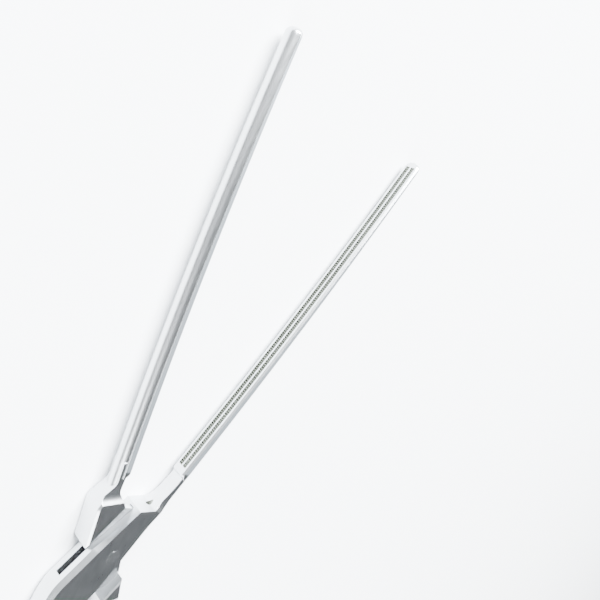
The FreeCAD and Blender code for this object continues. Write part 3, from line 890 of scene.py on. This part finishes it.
class WaistedHalf(HalfForm):
    """Half whose thin waist passes through the slot."""

    def shoulder(self, y: float) -> float:
        """X of the upper shoulder line.

        Args:
            y: Distance from the pivot along the long axis.

        Returns:
            The place of the line there.
        """
        lean = math.radians(self.lock.stop_angle)
        return -(self.lock.stop_distance - math.sin(lean) * y) / math.cos(lean)

    def outline(self) -> tuple[list[Corner], dict[int, float]]:
        """Corners of the lock, and its sides that end the waist as arcs about the pivot."""
        lock = self.lock
        lean, end = math.radians(lock.stop_angle), lock.stop_end
        radius = lock.slot_radius - lock.waist_end_gap
        foot = Vector((-math.cos(lean), math.sin(lean))) * lock.stop_distance
        reach = math.sqrt(radius ** 2 - lock.stop_distance ** 2)
        upper = foot + Vector((math.sin(lean), math.cos(lean))) * reach
        arc_x = 2.8
        arc_y = math.sqrt(radius ** 2 - arc_x ** 2)
        inner, outer = self.plan.neck
        start = self.neck_end - self.plan.base_shift
        top = [(0.5 - inner, start, 0, 0), (0.2 - inner, 20.5, 3.0, 0), (-inner, 16.8, 2.5, 0),
               (self.shoulder(end), end, 0.2, 0), (upper.x, upper.y, 0, 0)]
        right = [(arc_x, arc_y, 0, 0), (3.4, 6.0, 6.0, 0), (4.5, -3.0, 20.0, 0), (5.3, -8.0, 20.0, -1),
                 (6.3, -13.0, 10.0, -1), (6.5, -18.0, 0, 0)]
        bottom = [(2.6, -18.0, 0, 0), (2.5, -16.2, 2.0, 0), (-self.shoulder(end), -end, 0.2, 0),
                  (-upper.x, -upper.y, 0, 0)]
        left = [(-arc_x, -arc_y, 0, 0), (-3.4, -6.0, 6.0, 0), (-4.6, 0.5, 3.0, 0), (-7.9, 3.6, 0.4, 1),
                (-8.3, 13.6, 2.5, 1), (-7.2, 16.4, 1.5, 0.6), (0.9 - outer, 18.6, 2.0, 0),
                (0.8 - outer, start, 0, 0)]
        arcs = {len(top) - 1: radius, len(top) + len(right) + len(bottom) - 1: radius}
        return top + right + bottom + left, arcs

    def lock_solid(self) -> bpy.types.Object:
        """Two shoulders joined by the waist."""
        lock = self.lock
        corners, arcs = self.outline()
        block = self.block(corners, arcs, lock.waist_bevel, lock.waist_bevel)
        waist, beyond = lock.slot_height / 2 - lock.waist_gap, lock.slot_radius * 1.5
        band = [(self.shoulder(beyond), beyond), (self.shoulder(-beyond), -beyond),
                (-self.shoulder(beyond), -beyond), (-self.shoulder(-beyond), beyond)]
        tools = self.ramps()
        tools.append(Solid.prism("relief", band, waist, FACE_REACH))
        tools.append(Solid.prism("relief", band, -FACE_REACH, -waist))
        tools.append(Solid.drum(lock.pin / 2 + lock.pin_gap, -BORE_REACH, BORE_REACH))
        return Solid.combine(block, tools + self.shoulder_bevels(), "DIFFERENCE")

    def shoulder_bevels(self) -> list[bpy.types.Object]:
        """Tools that bevel both shoulders on both faces."""
        lock = self.lock
        lean = math.radians(lock.stop_angle)
        across = Matrix(((math.cos(lean), 0, math.sin(lean), 0), (-math.sin(lean), 0, math.cos(lean), 0),
                         (0, 1, 0, 0), (0, 0, 0, 1)))
        near, far = lock.stop_distance - CLEAR, lock.stop_distance + lock.stop_bevel
        foot = lock.half - lock.stop_bevel
        wedge = [(near, foot), (lock.stop_distance, foot), (far, lock.half), (far, FACE_REACH),
                 (near, FACE_REACH)]
        return [Solid.prism("bevel", [(sign * x, face * z) for x, z in wedge], -BEVEL_REACH, BEVEL_REACH,
                            across) for sign in (1, -1) for face in (1, -1)]


@dataclass(frozen=True)
class SteelLook:
    """Look of one steel surface.

    Attributes:
        name: Name of the material.
        dark: Colour of the dull patches.
        light: Colour of the bright patches.
        rough: Lowest and highest roughness.
        grain: Strength of the fine polishing marks.
        grain_scale: Frequency of the marks along each axis, per metre.
        edge: Radius that eases the look of sharp edges, in metres.
        edge_samples: Number of samples of that easing.
        patch_scale: Frequency of the patches, per metre.
        patch_detail: Levels of detail of the patches.
        grain_detail: Levels of detail of the marks.
        grain_height: Height of the marks, in metres.
    """

    name: str
    dark: Triple
    light: Triple
    rough: Point
    grain: float
    grain_scale: Triple
    edge: float = 0.00012
    edge_samples: int = 6
    patch_scale: float = 60.0
    patch_detail: float = 5.0
    grain_detail: float = 3.0
    grain_height: float = 0.00003


SATIN = SteelLook("satin_steel", (0.50, 0.52, 0.535), (0.66, 0.675, 0.69), (0.24, 0.36), 0.10,
                    (2400.0, 260.0, 2400.0))
# Painted shade: dark steel for the tooth rows and the relief hole's wall.
CUT = SteelLook("painted_shade_steel", (0.12, 0.13, 0.11), (0.21, 0.22, 0.19), (0.38, 0.50), 0.10,
                  (1800.0, 1800.0, 1800.0))
# Painted reflection: bluish, rougher steel for the plate's flat sides.
PAINTED_REFLECTION = SteelLook("plate_side_painted_reflection", (0.38, 0.42, 0.45), (0.46, 0.50, 0.53), (0.50, 0.60), 0.20,
                      (3000.0, 3000.0, 3000.0))
GROUND = SteelLook("ground_pin", (0.46, 0.48, 0.49), (0.60, 0.615, 0.63), (0.28, 0.40), 0.12,
                     (1800.0, 1800.0, 400.0), edge=0.00001)


class NodeSheet:
    """One material and the nodes that are laid out in it."""

    def __init__(self, name: str) -> None:
        """Start a material.

        Args:
            name: Name of the material.
        """
        self.material = bpy.data.materials.new(name)
        self.material.use_nodes = True
        self.tree = self.material.node_tree
        self.shader = self.tree.nodes["Principled BSDF"]

    def node(self, kind: str, **values: object) -> bpy.types.Node:
        """Add a node.

        Args:
            kind: Type of the node.
            values: Values of its inputs, with _ for a blank in an input's name.

        Returns:
            The new node.
        """
        node = self.tree.nodes.new(kind)
        for name, value in values.items():
            node.inputs[name.replace("_", " ")].default_value = value
        return node

    def link(self, source: bpy.types.NodeSocket, node: bpy.types.Node, name: str) -> None:
        """Lead an output to an input.

        Args:
            source: The output.
            node: The node that takes it.
            name: Name of the input.
        """
        self.tree.links.new(source, node.inputs[name])

    def tint(self, share: bpy.types.NodeSocket, dark: Triple, light: Triple) -> None:
        """Colour the surface between two colours.

        Args:
            share: Output that mixes them.
            dark: The first colour.
            light: The second colour.
        """
        mix = self.tree.nodes.new("ShaderNodeMix")
        mix.data_type = "RGBA"
        mix.inputs[6].default_value = (*dark, 1.0)
        mix.inputs[7].default_value = (*light, 1.0)
        self.link(share, mix, "Factor")
        self.link(mix.outputs[2], self.shader, "Base Color")


class MaterialShop:
    """Makes the procedural materials of the scene."""

    def steel(self, steel_look: SteelLook) -> bpy.types.Material:
        """Build a steel with patches, polishing marks and eased edges.

        Args:
            steel_look: The look of the surface.

        Returns:
            The new material.
        """
        sheet = NodeSheet(steel_look.name)
        sheet.shader.inputs["Metallic"].default_value = 1.0
        place = sheet.node("ShaderNodeTexCoord").outputs["Object"]
        patches = sheet.node("ShaderNodeTexNoise", Scale=steel_look.patch_scale, Detail=steel_look.patch_detail)
        sheet.link(place, patches, "Vector")
        sheet.tint(patches.outputs["Fac"], steel_look.dark, steel_look.light)
        stretch = sheet.node("ShaderNodeMapping", Scale=steel_look.grain_scale)
        sheet.link(place, stretch, "Vector")
        marks = sheet.node("ShaderNodeTexNoise", Scale=1.0, Detail=steel_look.grain_detail)
        sheet.link(stretch.outputs["Vector"], marks, "Vector")
        wear = sheet.node("ShaderNodeMapRange", To_Min=steel_look.rough[0], To_Max=steel_look.rough[1])
        sheet.link(marks.outputs["Fac"], wear, "Value")
        sheet.link(wear.outputs["Result"], sheet.shader, "Roughness")
        soften = sheet.node("ShaderNodeBevel", Radius=steel_look.edge)
        soften.samples = steel_look.edge_samples
        relief = sheet.node("ShaderNodeBump", Strength=steel_look.grain, Distance=steel_look.grain_height)
        sheet.link(marks.outputs["Fac"], relief, "Height")
        sheet.link(soften.outputs["Normal"], relief, "Normal")
        sheet.link(relief.outputs["Normal"], sheet.shader, "Normal")
        return sheet.material

    def floor(self) -> bpy.types.Material:
        """Build the pale, slightly bluish floor."""
        sheet = NodeSheet("pale_floor")
        sheet.shader.inputs["Roughness"].default_value = 0.75
        sheet.shader.inputs["Specular IOR Level"].default_value = 0.15
        speckle = sheet.node("ShaderNodeTexNoise", Scale=900.0)
        sheet.tint(speckle.outputs["Fac"], (0.895, 0.91, 0.925), (0.905, 0.92, 0.935))
        return sheet.material


@dataclass(frozen=True)
class SoftLight:
    """A rectangular soft light.

    Attributes:
        name: Name of the light.
        place: Where it stands, in metres.
        aim: Where it points, in metres.
        size: Its width and height, in metres.
        power: Its power, in watts.
        color: Its colour.
    """

    name: str
    place: Triple
    aim: Triple
    size: Point
    power: float
    color: Triple = (0.95, 0.98, 1.0)


KEY = SoftLight("key", (-0.25, 1.25, 0.95), (-0.05, 0.1, 0.0), (1.2, 0.9), 400.0, (0.945, 0.975, 1.0))
FILL = SoftLight("fill", (-0.35, -1.3, 0.8), (0.0, 0.0, 0.0), (1.2, 0.8), 60.0)
SIDE = SoftLight("side", (-1.1, -0.1, 0.95), (0.0, 0.03, 0.0), (1.8, 1.2), 7.0)


@dataclass(frozen=True)
class Studio:
    """Floor, lights and camera.

    Attributes:
        eye: Place of the camera, in metres.
        turn: Turn from the room to the camera's view, as a rotation vector in radians.
        focal: Focal length in pixels.
        image: Width in pixels of the image that the focal length is for.
        sensor: Width of the camera's sensor, in millimetres.
        clip: Nearest and farthest distance that the camera sees, in metres.
        floor_size: Length of the floor's sides, in metres.
        floor_cells: Number of the floor's cells along a side.
        room: Colour of the room's even light.
        room_strength: Strength of that light.
    """

    eye: Triple = (-0.0990413, 0.0727487, 0.0983271)
    turn: Triple = (-2.5618, -0.6834, -1.1881)
    focal: float = 611.6
    image: float = 600.0
    sensor: float = 36.0
    clip: Point = (0.01, 20.0)
    floor_size: float = 6.0
    floor_cells: int = 8
    room: Triple = (0.90, 0.95, 1.0)
    room_strength: float = 0.14

    def camera(self) -> None:
        """Create the camera at the viewing angle."""
        data = bpy.data.cameras.new("camera")
        data.sensor_width = self.sensor
        data.lens = self.focal / self.image * self.sensor
        data.clip_start, data.clip_end = self.clip
        camera = bpy.data.objects.new("camera", data)
        bpy.context.collection.objects.link(camera)
        angle = Vector(self.turn).length
        to_view = Matrix.Rotation(angle, 3, Vector(self.turn).normalized())
        to_blender = Matrix(((1, 0, 0), (0, -1, 0), (0, 0, -1)))
        rotation = (to_blender @ to_view).transposed()
        camera.matrix_world = Matrix.Translation(self.eye) @ rotation.to_4x4()
        bpy.context.scene.camera = camera

    def floor(self, material: bpy.types.Material) -> None:
        """Lay the floor under the clamp.

        Args:
            material: The material of the floor.
        """
        bpy.ops.mesh.primitive_grid_add(x_subdivisions=self.floor_cells, y_subdivisions=self.floor_cells,
                                        size=self.floor_size, location=(0, 0, 0))
        floor = bpy.context.object
        floor.name = "floor"
        floor.data.materials.append(material)

    def light(self, light: SoftLight) -> None:
        """Add one soft light.

        Args:
            light: The light.
        """
        data = bpy.data.lights.new(light.name, "AREA")
        data.shape = "RECTANGLE"
        data.size, data.size_y = light.size
        data.energy = light.power
        data.color = light.color
        lamp = bpy.data.objects.new(light.name, data)
        bpy.context.collection.objects.link(lamp)
        lamp.location = light.place
        lamp.rotation_euler = (Vector(light.aim) - Vector(light.place)).to_track_quat("-Z", "Y").to_euler()

    def world(self) -> None:
        """Fill the room with a dim even light."""
        world = bpy.data.worlds.new("room")
        world.use_nodes = True
        sky = world.node_tree.nodes["Background"]
        sky.inputs["Color"].default_value = (*self.room, 1.0)
        sky.inputs["Strength"].default_value = self.room_strength
        bpy.context.scene.world = world


def ground_pin(lock: LockSizes, steel: bpy.types.Material) -> bpy.types.Object:
    """Make the pivot pin, spread over its bore and ground flush with the lock faces.

    Args:
        lock: Sizes of the lock.
        steel: The material of the pin.

    Returns:
        The pin, riding with the slotted half.
    """
    radius, top = lock.pin / 2, lock.thick
    wide = radius + lock.pin_spread
    levels = ((radius, 0.0), (radius, top - lock.pin_flare), (wide, top - lock.pin_flare / 2),
              (wide, top + lock.pin_proud))
    angles = [k * math.pi / (PIN_STEPS // 2) for k in range(PIN_STEPS)]
    rings = [[Vector((reach * math.cos(angle), reach * math.sin(angle), z)) * MM for angle in angles]
             for reach, z in levels]
    pin = Solid.loft("pivot_pin_steel", rings)
    pin.data.materials.append(steel)
    pin.data.shade_smooth()
    pin.data.set_sharp_from_angle(angle=SHARP_PIN)
    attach(pin, "slotted")
    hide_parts(Node.PIN.value)
    return pin


def main() -> None:
    """Build the clamp and its studio."""
    logging.basicConfig(level=logging.INFO)
    shop = MaterialShop()
    steels = [shop.steel(steel_look) for steel_look in (SATIN, CUT, PAINTED_REFLECTION)]
    lock, jaw, limb = LockSizes(), JawSizes(), LimbSizes()
    SlottedHalf(SLOTTED_PLAN, lock, jaw, limb).build(*steels)
    WaistedHalf(WAISTED_PLAN, lock, jaw, limb).build(*steels)
    ground_pin(lock, shop.steel(GROUND))
    studio = Studio()
    studio.camera()
    studio.floor(shop.floor())
    for light in (KEY, FILL, SIDE):
        studio.light(light)
    studio.world()


if __name__ == "__main__":
    main()
